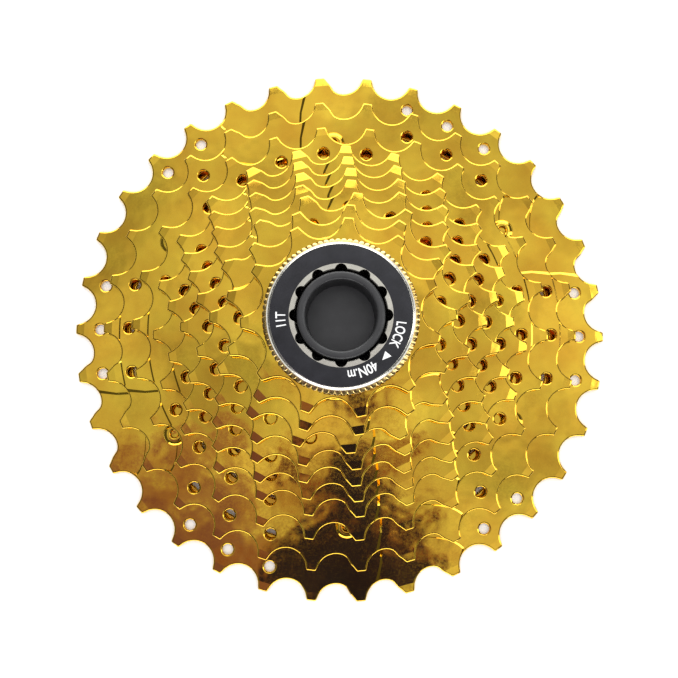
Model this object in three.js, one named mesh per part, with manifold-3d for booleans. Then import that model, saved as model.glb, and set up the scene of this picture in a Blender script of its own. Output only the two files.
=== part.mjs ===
// A ten-speed bicycle cassette, 11 to 34 teeth, on the plastic core it is shipped on.
// Millimetres, +Z up. The cassette lies on the back of its largest sprocket, and +Z is its axle, towards the lockring.
// The origin is on the axle, at the back face of the largest sprocket.
// Directions round the axle are bearings: degrees clockwise from +Y, seen from the front.

import * as THREE from 'three';
import { mergeVertices } from 'three/addons/utils/BufferGeometryUtils.js';
import Module from 'manifold-3d';

const wasm = await Module();
wasm.setup();

// Bicycle chain, and the teeth that take it: valleys rounder than the roller, between narrow tips
const CHAIN_PITCH = 12.7;
const ROLLER_RADIUS = 3.885;
const VALLEY_RADIUS = 5.1;
const TIP_ABOVE_PITCH_CIRCLE = 0.72;
const TIP_HALF_WIDTH = 1.25;

// Stack along the axle
const SPROCKET_SPACING = 3.95;
const PLATE_THICKNESS = 1.6;
const FACE_GAP = 0.05;

// Splined bore of the sprockets, and the lugs that reach into the core's grooves
const BORE_RADIUS = 17.6;
const LUG_TIP_RADIUS = 16.75;
const LUG_COUNT = 9;
const LUG_HALF_ANGLE = 8.5;
const KEY_LUG_HALF_ANGLE = 5.5;
const SPLINE_CLEARANCE = 0.25;
const GROOVE_CLEARANCE_ANGLE = 1;

// Small holes under the teeth, and the six large windows of the big plates
const SMALL_HOLE_RADIUS = 1.35;
const SMALL_HOLE_SIDES = 6;
const ARM_COUNT = 6;
const ARM_HALF_WIDTH = 5;
const ARM_BEARING = 58;

// Rivets that join the two largest sprockets, one on each arm
const RIVET_CIRCLE_RADIUS = 50;
const RIVET_SHANK_RADIUS = 1.5;
const RIVET_HOLE_RADIUS = 1.8;
const RIVET_COLLAR_RADIUS = 3.2;
const RIVET_HEAD_RADIUS = 2.9;
const RIVET_HEAD_HEIGHT = 0.9;
const RIVET_SIDES = 8;

// Spacers between the sprockets
const SPACER_BORE_RADIUS = 17.75;
const SPACER_RADIUS = 21;
const FIRST_SPACER_RADIUS = 24;
const SPACER_SIDES = 24;

// Sides of the other round pieces
const ROUND_SIDES = 36;

// Lockring: a flange with a threaded shank behind it, and notches for the tool all round its bore
const LOCKRING_RADIUS = 16.95;
const LOCKRING_CHAMFER = 0.6;
const LOCKRING_FLANGE_THICKNESS = 2;
const LOCKRING_BORE_RADIUS = 10.5;
const SHANK_RADIUS = 15.2;
const SHANK_LENGTH = 5.5;
const NOTCH_COUNT = 12;
const NOTCH_RADIUS = 1.4;
const NOTCH_CENTRE_RADIUS = 10.35;

// Serrated washer under the lockring
const WASHER_RADIUS = 17.95;
const WASHER_TOOTH_DEPTH = 0.35;
const WASHER_TOOTH_COUNT = 40;
const WASHER_BORE_RADIUS = 15.9;
const WASHER_THICKNESS = 0.95;

// Shipping core: a splined tube with a web and a socket inside, and a cup-shaped plug that clips into the socket
const CORE_BASE = 0.3;
const CORE_TOP = 36.9;
const CORE_BORE_RADIUS = 15.75;
const CORE_BACK_BORE_RADIUS = 14;
const CORE_WEB_BOTTOM = 20;
const CORE_WEB_TOP = 22;
const SOCKET_RADIUS = 9.6;
const SOCKET_BORE_RADIUS = 7.95;
const SOCKET_TOP = 31.2;
const PLUG_RADIUS = 10;
const PLUG_LIP_ROUNDING = 0.7;
const PLUG_RECESS_RADIUS = 8.1;
const PLUG_FLOOR = 33;
const PLUG_SHOULDER = 31.6;
const PLUG_TOP = 40.7;
const STEM_RADIUS = 7.6;
const STEM_BORE_RADIUS = 6.2;
const STEM_BOTTOM = 18;
const STEM_BORE_TOP = 30.8;

// Ten sprockets, largest first. Tooth 0 stands at the clocking bearing and the rest follow clockwise.
// Holes are the teeth that have a small hole below them, and windows the radii that the large windows lie between.
const SPROCKETS = [
  { teeth: 34, clocking: 6.1, holeDepth: 1.8, windows: [26, 55],
    holes: [1, 2, 3, 7, 8, 9, 12, 13, 18, 19, 20, 24, 25, 26, 29, 30] },
  { teeth: 30, clocking: 6.9, holeDepth: 2.1, windows: [25, 46],
    holes: [1, 2, 3, 6, 7, 8, 11, 16, 17, 18, 21, 22, 23, 26] },
  { teeth: 26, clocking: 8.5, holeDepth: 2.4, windows: [25, 40.2],
    holes: [0, 5, 6, 7, 8, 9, 14, 15, 16, 17, 20, 22, 23, 24, 25] },
  { teeth: 23, clocking: 1.8, holeDepth: 2.5, holes: [2, 3, 4, 5, 6, 7, 8, 13, 14, 15, 16, 18, 19] },
  { teeth: 21, clocking: 2.6, holeDepth: 2.7, holes: [2, 3, 4, 5, 6, 7, 12, 13, 14, 16, 17] },
  { teeth: 19, clocking: 3.9, holeDepth: 2.7, holes: [2, 3, 4, 5, 6, 12, 13, 14, 15] },
  { teeth: 17, clocking: 4.4, holeDepth: 2.5, holes: [0, 1, 2, 3, 4, 5, 9, 10, 11, 12, 13] },
  { teeth: 15, clocking: 7.7, holeDepth: 2.9, holes: [3, 4, 11, 14] },
  { teeth: 13, clocking: 4.8, holeDepth: 0, holes: [] },
  { teeth: 11, clocking: 4.6, holeDepth: 0, holes: [] },
];
const SMALLEST_COLLAR_RADIUS = 19;

const GOLD = { color: 0xd9b43c, roughness: 0.15, metalness: 1 };
const STEEL = { color: 0xd8d4cc, roughness: 0.35, metalness: 1 };
const BLACK_ALLOY = { color: 0x3b3b42, roughness: 0.45, metalness: 0.6 };
const SPACER_PLASTIC = { color: 0x2b2b2d, roughness: 0.6, metalness: 0 };
const CORE_PLASTIC = { color: 0x3e3e3f, roughness: 0.5, metalness: 0 };

const cassette = new THREE.Group();
cassette.name = 'cassette';

const radians = THREE.MathUtils.degToRad;

// The point at a radius and bearing round the axle, or round another centre.
function polar(radius, bearing, centre = new THREE.Vector2(0, 0)) {
  const angle = radians(bearing);
  return new THREE.Vector2(centre.x + radius * Math.sin(angle), centre.y + radius * Math.cos(angle));
}

// Points along an arc, both ends included.
function arc(radius, from, to, steps, centre) {
  return Array.from({ length: steps + 1 }, (_, i) => polar(radius, from + ((to - from) * i) / steps, centre));
}

// The corners of a round hole or disc with that many sides.
function circle(radius, sides, centre) {
  return arc(radius, 0, 360, sides, centre).slice(0, sides);
}

// A flat plate with its back at height 0. All the outlines here run clockwise, and holes have to run the other way.
function plate(outline, holes, thickness) {
  const shape = new THREE.Shape(outline);
  shape.holes = holes.map((points) => new THREE.Path([...points].reverse()));
  return new THREE.ExtrudeGeometry(shape, { depth: thickness, bevelEnabled: false, steps: 1 });
}

// A solid turned about the axle from a profile of [radius, height] points, anticlockwise.
function turned(profile, sides = ROUND_SIDES) {
  const points = profile.map(([radius, height]) => new THREE.Vector2(radius, height));
  return new THREE.LatheGeometry(points, sides).rotateX(Math.PI / 2);
}

function tube(innerRadius, outerRadius, bottom, top, sides) {
  return turned([
    [innerRadius, bottom],
    [outerRadius, bottom],
    [outerRadius, top],
    [innerRadius, top],
    [innerRadius, bottom],
  ], sides);
}

function solid(geometry) {
  const bare = geometry.clone();
  bare.deleteAttribute('normal');
  bare.deleteAttribute('uv');
  const merged = mergeVertices(bare, 1e-4);
  const vertProperties = merged.attributes.position.array;
  const triVerts = new Uint32Array(merged.index.array);
  return new wasm.Manifold(new wasm.Mesh({ numProp: 3, vertProperties, triVerts }));
}

function geometryOf(shape) {
  const mesh = shape.getMesh();
  const geometry = new THREE.BufferGeometry();
  geometry.setAttribute('position', new THREE.BufferAttribute(new Float32Array(mesh.vertProperties), 3));
  geometry.setIndex(Array.from(mesh.triVerts));
  geometry.computeVertexNormals();
  return geometry;
}

function add(name, geometry, look, z = 0) {
  const mesh = new THREE.Mesh(geometry, new THREE.MeshStandardMaterial({ ...look, flatShading: true }));
  mesh.name = name;
  mesh.position.z = z;
  cassette.add(mesh);
  return mesh;
}

const pitchRadius = (teeth) => CHAIN_PITCH / 2 / Math.sin(Math.PI / teeth);
const rootRadius = (teeth) => pitchRadius(teeth) - ROLLER_RADIUS;
const backFace = (index) => index * SPROCKET_SPACING;
const label = (index) => `${SPROCKETS[index].teeth}t`;

// The toothed rim: a round valley between each two teeth, as deep as a roller on the pitch circle, whose sides
// run on in straight tangents to the corners of the tips.
function toothedRim({ teeth, clocking }) {
  const tip = pitchRadius(teeth) + TIP_ABOVE_PITCH_CIRCLE;
  const valleyCentre = rootRadius(teeth) + VALLEY_RADIUS;
  const toothAngle = 360 / teeth;
  const tipAngle = THREE.MathUtils.radToDeg(TIP_HALF_WIDTH / tip);
  const centre = polar(valleyCentre, toothAngle / 2);
  const corner = polar(tip, tipAngle);
  const reach = corner.distanceTo(centre);
  const towardsCorner = THREE.MathUtils.radToDeg(Math.atan2(corner.x - centre.x, corner.y - centre.y));
  const tangent = towardsCorner - THREE.MathUtils.radToDeg(Math.acos(VALLEY_RADIUS / reach));
  const halfValley = 180 + tangent - toothAngle / 2;
  const valleySteps = 4;
  const rim = [];
  for (let k = 0; k < teeth; k += 1) {
    const bearing = clocking + k * toothAngle;
    const valley = bearing + toothAngle / 2;
    const from = valley + 180 + halfValley;
    const to = valley + 180 - halfValley;
    rim.push(polar(tip, bearing - tipAngle), polar(tip, bearing + tipAngle));
    rim.push(...arc(VALLEY_RADIUS, from, to, valleySteps, polar(valleyCentre, valley)));
  }
  return rim;
}

// A bore or core outline that steps between two radii at each of the nine lugs. The lug at bearing 0 is the narrow key.
function splined(radius, lugRadius, extraAngle) {
  const outline = [];
  for (let lug = 0; lug < LUG_COUNT; lug += 1) {
    const bearing = (lug * 360) / LUG_COUNT;
    const half = (lug === 0 ? KEY_LUG_HALF_ANGLE : LUG_HALF_ANGLE) + extraAngle;
    const nextHalf = (lug === LUG_COUNT - 1 ? KEY_LUG_HALF_ANGLE : LUG_HALF_ANGLE) + extraAngle;
    outline.push(...arc(lugRadius, bearing - half, bearing + half, 1));
    outline.push(...arc(radius, bearing + half, bearing + 360 / LUG_COUNT - nextHalf, 1));
  }
  return outline;
}

// Six windows between straight-sided arms.
function armWindows([inner, outer]) {
  const step = 360 / ARM_COUNT;
  const armAngle = (radius) => THREE.MathUtils.radToDeg(Math.asin(ARM_HALF_WIDTH / radius));
  return Array.from({ length: ARM_COUNT }, (_, i) => {
    const arm = ARM_BEARING + i * step;
    return [
      ...arc(outer, arm + armAngle(outer), arm + step - armAngle(outer), 5),
      ...arc(inner, arm + step - armAngle(inner), arm + armAngle(inner), 3),
    ];
  });
}

const rivetCentres = Array.from({ length: ARM_COUNT }, (_, i) =>
  polar(RIVET_CIRCLE_RADIUS, ARM_BEARING + (i * 360) / ARM_COUNT));

function sprocketHoles(sprocket, isRiveted) {
  const { teeth, clocking, holeDepth, holes, windows } = sprocket;
  const holeCircle = rootRadius(teeth) - holeDepth;
  const small = holes.map((tooth) =>
    circle(SMALL_HOLE_RADIUS, SMALL_HOLE_SIDES, polar(holeCircle, clocking + (tooth * 360) / teeth)));
  const rivets = isRiveted ? rivetCentres.map((centre) => circle(RIVET_HOLE_RADIUS, RIVET_SIDES, centre)) : [];
  return [splined(BORE_RADIUS, LUG_TIP_RADIUS, 0), ...(windows ? armWindows(windows) : []), ...small, ...rivets];
}

function sprocket(index) {
  const isRiveted = index < 2;
  const holes = sprocketHoles(SPROCKETS[index], isRiveted);
  return plate(toothedRim(SPROCKETS[index]), holes, PLATE_THICKNESS);
}

// The smallest sprocket has its spacer in one piece with it, behind the plate.
function smallestSprocket(index) {
  const collarThickness = SPROCKET_SPACING - PLATE_THICKNESS - FACE_GAP;
  const bore = [splined(BORE_RADIUS, LUG_TIP_RADIUS, 0)];
  const collar = plate(circle(SMALLEST_COLLAR_RADIUS, ROUND_SIDES), bore, collarThickness + PLATE_THICKNESS / 2);
  collar.translate(0, 0, -collarThickness);
  return geometryOf(solid(sprocket(index)).add(solid(collar)));
}

function spacer(index) {
  const outer = index === 0 ? FIRST_SPACER_RADIUS : SPACER_RADIUS;
  const thickness = SPROCKET_SPACING - PLATE_THICKNESS - 2 * FACE_GAP;
  return tube(SPACER_BORE_RADIUS, outer, 0, thickness, SPACER_SIDES);
}

// A shouldered rivet: its foot flush in the largest plate, its collar between the plates and its head on the second.
function rivet() {
  const collarBottom = PLATE_THICKNESS + FACE_GAP;
  const collarTop = SPROCKET_SPACING - FACE_GAP;
  const headBottom = SPROCKET_SPACING + PLATE_THICKNESS + FACE_GAP;
  const headTop = headBottom + RIVET_HEAD_HEIGHT;
  const profile = [
    [0, FACE_GAP],
    [RIVET_SHANK_RADIUS, FACE_GAP],
    [RIVET_SHANK_RADIUS, collarBottom],
    [RIVET_COLLAR_RADIUS, collarBottom],
    [RIVET_COLLAR_RADIUS, collarTop],
    [RIVET_SHANK_RADIUS, collarTop],
    [RIVET_SHANK_RADIUS, headBottom],
    [RIVET_HEAD_RADIUS, headBottom],
    [RIVET_HEAD_RADIUS * 0.75, headTop],
    [0, headTop],
  ];
  return turned(profile, RIVET_SIDES);
}

function lockring() {
  const top = LOCKRING_FLANGE_THICKNESS;
  const ring = turned([
    [LOCKRING_BORE_RADIUS, -SHANK_LENGTH],
    [SHANK_RADIUS, -SHANK_LENGTH],
    [SHANK_RADIUS, 0],
    [LOCKRING_RADIUS, 0],
    [LOCKRING_RADIUS, top - LOCKRING_CHAMFER],
    [LOCKRING_RADIUS - LOCKRING_CHAMFER, top],
    [LOCKRING_BORE_RADIUS, top],
    [LOCKRING_BORE_RADIUS, -SHANK_LENGTH],
  ]);
  const cutLength = SHANK_LENGTH + LOCKRING_FLANGE_THICKNESS + 2;
  const notches = Array.from({ length: NOTCH_COUNT }, (_, i) => {
    const centre = polar(NOTCH_CENTRE_RADIUS, (i * 360) / NOTCH_COUNT);
    const cutter = plate(circle(NOTCH_RADIUS, 8, centre), [], cutLength);
    return solid(cutter.translate(0, 0, -SHANK_LENGTH - 1));
  });
  return geometryOf(notches.reduce((rest, notch) => rest.subtract(notch), solid(ring)));
}

function washer() {
  const step = 360 / WASHER_TOOTH_COUNT;
  const rim = Array.from({ length: WASHER_TOOTH_COUNT }, (_, i) => [
    polar(WASHER_RADIUS, i * step),
    polar(WASHER_RADIUS - WASHER_TOOTH_DEPTH, (i + 0.5) * step),
  ]).flat();
  return plate(rim, [circle(WASHER_BORE_RADIUS, ROUND_SIDES)], WASHER_THICKNESS);
}

function core() {
  const outline = splined(BORE_RADIUS - SPLINE_CLEARANCE, LUG_TIP_RADIUS - SPLINE_CLEARANCE, GROOVE_CLEARANCE_ANGLE);
  const body = plate(outline, [], CORE_TOP - CORE_BASE).translate(0, 0, CORE_BASE);
  const beyond = 1;
  const hollow = turned([
    [0, CORE_WEB_TOP],
    [CORE_BORE_RADIUS, CORE_WEB_TOP],
    [CORE_BORE_RADIUS, CORE_TOP + beyond],
    [0, CORE_TOP + beyond],
  ]);
  const backHollow = turned([
    [0, CORE_BASE - beyond],
    [CORE_BACK_BORE_RADIUS, CORE_BASE - beyond],
    [CORE_BACK_BORE_RADIUS, CORE_WEB_BOTTOM],
    [0, CORE_WEB_BOTTOM],
  ]);
  const socket = turned([
    [0, CORE_WEB_BOTTOM],
    [SOCKET_RADIUS, CORE_WEB_BOTTOM],
    [SOCKET_RADIUS, SOCKET_TOP],
    [0, SOCKET_TOP],
  ]);
  const socketBore = turned([
    [0, CORE_WEB_BOTTOM - beyond],
    [SOCKET_BORE_RADIUS, CORE_WEB_BOTTOM - beyond],
    [SOCKET_BORE_RADIUS, SOCKET_TOP + beyond],
    [0, SOCKET_TOP + beyond],
  ]);
  const shell = solid(body).subtract(solid(hollow)).subtract(solid(backHollow));
  return geometryOf(shell.add(solid(socket)).subtract(solid(socketBore)));
}

function plug() {
  return turned([
    [0, STEM_BORE_TOP],
    [STEM_BORE_RADIUS, STEM_BORE_TOP],
    [STEM_BORE_RADIUS, STEM_BOTTOM],
    [STEM_RADIUS, STEM_BOTTOM],
    [STEM_RADIUS, PLUG_SHOULDER],
    [PLUG_RADIUS, PLUG_SHOULDER],
    [PLUG_RADIUS, PLUG_TOP - PLUG_LIP_ROUNDING],
    [PLUG_RADIUS - PLUG_LIP_ROUNDING, PLUG_TOP],
    [PLUG_RECESS_RADIUS + PLUG_LIP_ROUNDING, PLUG_TOP],
    [PLUG_RECESS_RADIUS, PLUG_TOP - PLUG_LIP_ROUNDING],
    [PLUG_RECESS_RADIUS, PLUG_FLOOR],
    [0, PLUG_FLOOR],
  ]);
}

const last = SPROCKETS.length - 1;
for (let index = 0; index < last; index += 1) {
  add(`sprocket_${label(index)}`, sprocket(index), GOLD, backFace(index));
}
add(`sprocket_${label(last)}`, smallestSprocket(last), GOLD, backFace(last));

for (let index = 0; index < last - 1; index += 1) {
  const name = `spacer_${label(index)}_${label(index + 1)}`;
  add(name, spacer(index), SPACER_PLASTIC, backFace(index) + PLATE_THICKNESS + FACE_GAP);
}

rivetCentres.forEach((centre, i) => {
  const mesh = add(`rivet_${i + 1}`, rivet(), GOLD);
  mesh.position.x = centre.x;
  mesh.position.y = centre.y;
});

const washerBottom = backFace(last) + PLATE_THICKNESS + FACE_GAP;
add('lockring_washer', washer(), STEEL, washerBottom);
add('lockring', lockring(), BLACK_ALLOY, washerBottom + WASHER_THICKNESS + FACE_GAP);
add('packing_core', core(), CORE_PLASTIC);
add('packing_plug', plug(), CORE_PLASTIC);

export default cassette;
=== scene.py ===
import math

import bmesh
import bpy
from mathutils import Matrix, Vector
from mathutils.geometry import tessellate_polygon


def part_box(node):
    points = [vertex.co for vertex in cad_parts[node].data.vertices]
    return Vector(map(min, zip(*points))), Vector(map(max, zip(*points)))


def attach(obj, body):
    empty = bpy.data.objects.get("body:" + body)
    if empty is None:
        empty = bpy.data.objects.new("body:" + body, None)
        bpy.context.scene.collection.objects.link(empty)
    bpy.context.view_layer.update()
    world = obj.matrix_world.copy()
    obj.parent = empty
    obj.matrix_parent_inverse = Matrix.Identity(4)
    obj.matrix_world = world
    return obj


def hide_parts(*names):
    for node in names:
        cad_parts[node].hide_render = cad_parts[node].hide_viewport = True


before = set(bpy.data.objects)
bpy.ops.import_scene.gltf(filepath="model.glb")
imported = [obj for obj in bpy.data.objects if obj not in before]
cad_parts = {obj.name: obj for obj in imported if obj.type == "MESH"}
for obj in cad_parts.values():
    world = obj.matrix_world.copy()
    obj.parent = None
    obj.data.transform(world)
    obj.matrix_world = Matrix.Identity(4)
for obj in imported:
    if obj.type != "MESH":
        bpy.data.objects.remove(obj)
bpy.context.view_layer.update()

# A ten-speed bicycle cassette in gold plate. Shapes are in millimetres, in the frame of the CAD model: +Z is
# the axle, towards the lockring, and bearings are degrees clockwise from +Y, seen from the front.
MM = 0.001

# Chain and teeth, as in the CAD model
CHAIN_PITCH = 12.7
ROLLER_RADIUS = 3.885
VALLEY_RADIUS = 5.1
TIP_ABOVE_PITCH_CIRCLE = 0.72
TIP_HALF_WIDTH = 1.25

# Finer form of the teeth: the front of each tip slopes back, less on the sprockets with windows, and teeth
# beside a shift ramp have one fuller flank
TIP_SLOPE_LENGTH = 2.0
TIP_CORNER_SIZE = 0.2
TIP_SLOPE_DROP = 0.3
LARGE_TIP_SLOPE_DROP = 0.12
FULLER_FLANK = 0.75
FLANK_REACH = 5
VALLEY_STEPS = 12
FLANK_STEPS = 4

# Rounding of the edges, and how round shapes and shading are made
EDGE_ROUNDING = 0.42
HOLE_CHAMFER = 0.45
ROUNDING_STEPS = 4
MITRE_LIMIT = 0.6
TURNED_SIDES = 96
SHARP_ANGLE = 35
WELD_DISTANCE = 1e-7

# Splined bore
BORE_RADIUS = 17.6
LUG_TIP_RADIUS = 16.75
LUG_COUNT = 9
LUG_HALF_ANGLE = 8.5
KEY_LUG_HALF_ANGLE = 5.5
SPLINE_CLEARANCE = 0.25
GROOVE_CLEARANCE_ANGLE = 1

# Small holes, windows and rivets
SMALL_HOLE_RADIUS = 1.35
SMALL_HOLE_SIDES = 28
ARM_COUNT = 6
ARM_HALF_WIDTH = 5
ARM_BEARING = 58
WINDOW_CORNER_RADIUS = 2.5
RIVET_CIRCLE_RADIUS = 50
RIVET_HOLE_RADIUS = 1.8

# Shift ramps: shallow steps pressed into the front of a plate, each over two teeth. They start and end a
# little clockwise of the middle of a valley, and reach in under the next sprocket.
RAMP_DEPTH = 0.35
RAMP_END_WIDTH = 0.65
RAMP_START_WIDTH = 0.5
RAMP_UNDERLAP = 0.6
RAMP_END_LEAN = 0.25
RAMP_STEPS = 16
RAMP_VALLEY_OFFSET = 1.1
RAMP_CLOCKWISE_PULL = 1.6
RAMP_INWARD_PULL = 0.56
RAMP_SWEEP = 1.36
RAMP_HIDDEN_STEPS = 6
POINTS_PAST_VALLEY = 2
SINGLE_STEP_WIDTH = 0.45
SINGLE_STEP_ABOVE_ROOT = 0.1

# Clearance of the ramps round the rivets
RIVET_CLEARANCE = 2.3

# Ten sprockets, largest first, as in the CAD model. Each ramp is the tooth before the valley where it ends,
# and each step is a tooth pressed back from its root outwards.
SPROCKETS = [
    {"teeth": 34, "clocking": 6.1, "hole_depth": 1.8, "windows": (26, 55),
     "holes": [1, 2, 3, 7, 8, 9, 12, 13, 18, 19, 20, 24, 25, 26, 29, 30],
     "ramps": [6, 15, 23, 32], "steps": []},
    {"teeth": 30, "clocking": 6.9, "hole_depth": 2.1, "windows": (25, 46),
     "holes": [1, 2, 3, 6, 7, 8, 11, 16, 17, 18, 21, 22, 23, 26],
     "ramps": [5, 13, 20, 28], "steps": [6, 7, 21, 22]},
    {"teeth": 26, "clocking": 8.5, "hole_depth": 2.4, "windows": (25, 40.2),
     "holes": [0, 5, 6, 7, 8, 9, 14, 15, 16, 17, 20, 22, 23, 24, 25],
     "ramps": [11], "steps": [4, 5, 6, 17, 18, 19]},
    {"teeth": 23, "clocking": 1.8, "hole_depth": 2.5, "holes": [2, 3, 4, 5, 6, 7, 8, 13, 14, 15, 16, 18, 19],
     "ramps": [10, 22], "steps": [4, 16]},
    {"teeth": 21, "clocking": 2.6, "hole_depth": 2.7, "holes": [2, 3, 4, 5, 6, 7, 12, 13, 14, 16, 17],
     "ramps": [9, 20], "steps": []},
    {"teeth": 19, "clocking": 3.9, "hole_depth": 2.7, "holes": [2, 3, 4, 5, 6, 12, 13, 14, 15],
     "ramps": [8, 18], "steps": []},
    {"teeth": 17, "clocking": 4.4, "hole_depth": 2.5, "holes": [0, 1, 2, 3, 4, 5, 9, 10, 11, 12, 13],
     "ramps": [7, 16], "steps": []},
    {"teeth": 15, "clocking": 7.7, "hole_depth": 2.9, "holes": [3, 4, 11, 14], "ramps": [6, 13], "steps": []},
    {"teeth": 13, "clocking": 4.8, "hole_depth": 0, "holes": [], "ramps": [], "steps": []},
    {"teeth": 11, "clocking": 4.6, "hole_depth": 0, "holes": [], "ramps": [], "steps": []},
]
SMALLEST_COLLAR_RADIUS = 19

# Rivets: a shank, a collar between the two plates, and a spun head with a dimple. The head is given as
# radii and depths below its top.
RIVET_SIDES = 40
RIVET_SHANK_RADIUS = 1.5
RIVET_LEAD_IN = 0.15
RIVET_COLLAR_RADIUS = 3.2
RIVET_COLLAR_ABOVE_FOOT = 1.6
RIVET_COLLAR_BELOW_HEAD = 1.7
RIVET_HEAD = ((2.75, 0.9), (2.9, 0.75), (2.9, 0.6), (2.75, 0.4), (2.3, 0.1), (1.6, 0), (1.25, 0), (1.1, 0.1),
              (1.0, 0.5), (0.85, 0.62), (0, 0.66))

# Spacers
SPACER_BORE_RADIUS = 17.75
SPACER_ROUNDING = 0.3

# Lockring. The bevel of its rim is given as distances in from the outside and depths below the top.
NOTCH_COUNT = 12
NOTCH_RADIUS = 1.4
NOTCH_CENTRE_RADIUS = 10.35
LOCKRING_BORE_RADIUS = 10.5
SHANK_CORE_RADIUS = 14.5
FLANGE_THICKNESS = 2
LOCKRING_CHAMFER = 0.2
SHANK_CHAMFER = (0.25, 0.3)
RIM_BEVEL = ((0, 0.75), (0.08, 0.6))
BLACK_FACE_EDGE = (0.12, 0.04)
INSIDE_RIM_DROP = 0.05
BLACK_FACE = (11.8, 16.2)
THREAD_PITCH = 25.4 / 24
THREAD_DEPTH = 0.5
THREAD_CREST_RADIUS = 15.2
THREAD_LEVELS = 60
THREAD_RUN_OUT_LEVELS = 6
THREAD_FOOT_GAP = 0.1
THREAD_FLANGE_GAP = 0.05
THREAD_CLEARANCE = 0.01

# Washer. Its chamfers are distances inwards and along the axle, at the back and at the front.
SERRATION_COUNT = 80
SERRATION_DEPTH = 0.4
SERRATION_WAVE = (0, 0.8, 1, 0.8)
WASHER_BORE_RADIUS = 15.9
WASHER_CHAMFERS = ((0.25, 0.2), (0.45, 0.3))

# Core: two hollows back to back with a floor between them, and a socket for the plug standing on the floor
CORE_BACK_BORE_RADIUS = 14
CORE_FRONT_BORE_RADIUS = 15.75
CORE_FLOOR = (20, 22)
SOCKET_RADII = (7.95, 9.6)
SOCKET_TOP = 31.2
CORE_ROUNDING = 0.35
GROOVE_SLANT = 0.4

# Plug: a tubular stem with a wider cup on its end
PLUG_STEM_RADII = (6.2, 7.6)
PLUG_LIP_BOTTOM = 31.6
PLUG_INSIDE_FLOOR = 30.8
PLUG_RECESS_FLOOR = 33
PLUG_RECESS_RADII = (7.9, 8.1)
PLUG_ROUNDING = 0.75

# Marks printed on the lockring, the texts as (name, text, bearing, spread)
MARK_RADIUS = 12.6
MARK_HEIGHT = 2.2
CAPITAL_HEIGHT = 0.7
MARK_BOLDNESS = 0.05
MARK_THICKNESS = 0.03
MARKS = (
    ("mark_count", "11T", 266, 13.5),
    ("mark_lock", "LOCK", 109, 25),
    ("mark_torque", "40N.m", 159, 29.5),
)
ARROW_TAIL = 129.5
ARROW_POINT = 138
ARROW_HALF_WIDTH = 0.9

# Floor, and what the gold reflects: panels as (name, place, size, brightness), a ceiling and two cards
FLOOR_LEVEL = -0.05
FLOOR_HALF_WIDTH = 4000
PANEL_TARGET = (0, 0, 20)
PANELS = (
    ("back_panel", (0, 700, 300), (1200, 560), 3.8),
    ("front_panel", (0, -700, 150), (1200, 300), 3.8),
    ("right_panel", (700, 0, 420), (900, 240), 2.8),
    ("back_window", (60, 545, 820), (760, 135), 2),
    ("right_window", (440, 170, 820), (110, 560), 1.7),
)
CEILING_DIM_REACH = 230
CARD_MARGIN = 1.3

# Camera
CAMERA_PLACE = (-1.84, -27.24, 259.6)
CAMERA_TARGET = (-0.37, -3.58, 21.6)
CAMERA_LENS = 52.27


# ---- outlines: lists of 2D points, clockwise seen from the front ----

def polar(radius, bearing, centre=Vector((0, 0))):
    """The point at a radius and bearing round the axle, or round another centre."""
    angle = math.radians(bearing)
    return centre + Vector((radius * math.sin(angle), radius * math.cos(angle)))


def arc(radius, start, end, steps, centre=Vector((0, 0))):
    """Points along an arc, both ends included."""
    return [polar(radius, start + (end - start) * i / steps, centre) for i in range(steps + 1)]


def circle(radius, sides, centre=Vector((0, 0))):
    return arc(radius, 0, 360, sides, centre)[:-1]


def pulled(start, pull, end, t):
    """The place at t from 0 to 1 along a curve from start to end, pulled towards a third place."""
    return start * (1 - t) ** 2 + pull * 2 * t * (1 - t) + end * t ** 2


def rounded(loop, radius, steps=ROUNDING_STEPS, least_turn=30):
    """The closed loop with its sharp corners rounded."""
    made = []
    for i, corner in enumerate(loop):
        back = loop[i - 1] - corner
        ahead = loop[(i + 1) % len(loop)] - corner
        turn = math.pi - back.angle(ahead)
        if math.degrees(turn) < least_turn:
            made.append(corner)
            continue
        reach = min(radius * math.tan(turn / 2), 0.45 * back.length, 0.45 * ahead.length)
        start = corner + back.normalized() * reach
        end = corner + ahead.normalized() * reach
        made += [pulled(start, corner, end, step / steps) for step in range(steps + 1)]
    return made


def inset(loop, distance):
    """A clockwise loop shrunk by a distance."""
    moved = []
    for i, point in enumerate(loop):
        before = (point - loop[i - 1]).normalized()
        after = (loop[(i + 1) % len(loop)] - point).normalized()
        inwards = Vector((before.y + after.y, -before.x - after.x)).normalized()
        stretch = 1 / max(MITRE_LIMIT, inwards.dot(Vector((before.y, -before.x))))
        moved.append(point + inwards * distance * stretch)
    return moved


# ---- meshes, in millimetres until they become objects ----

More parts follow.
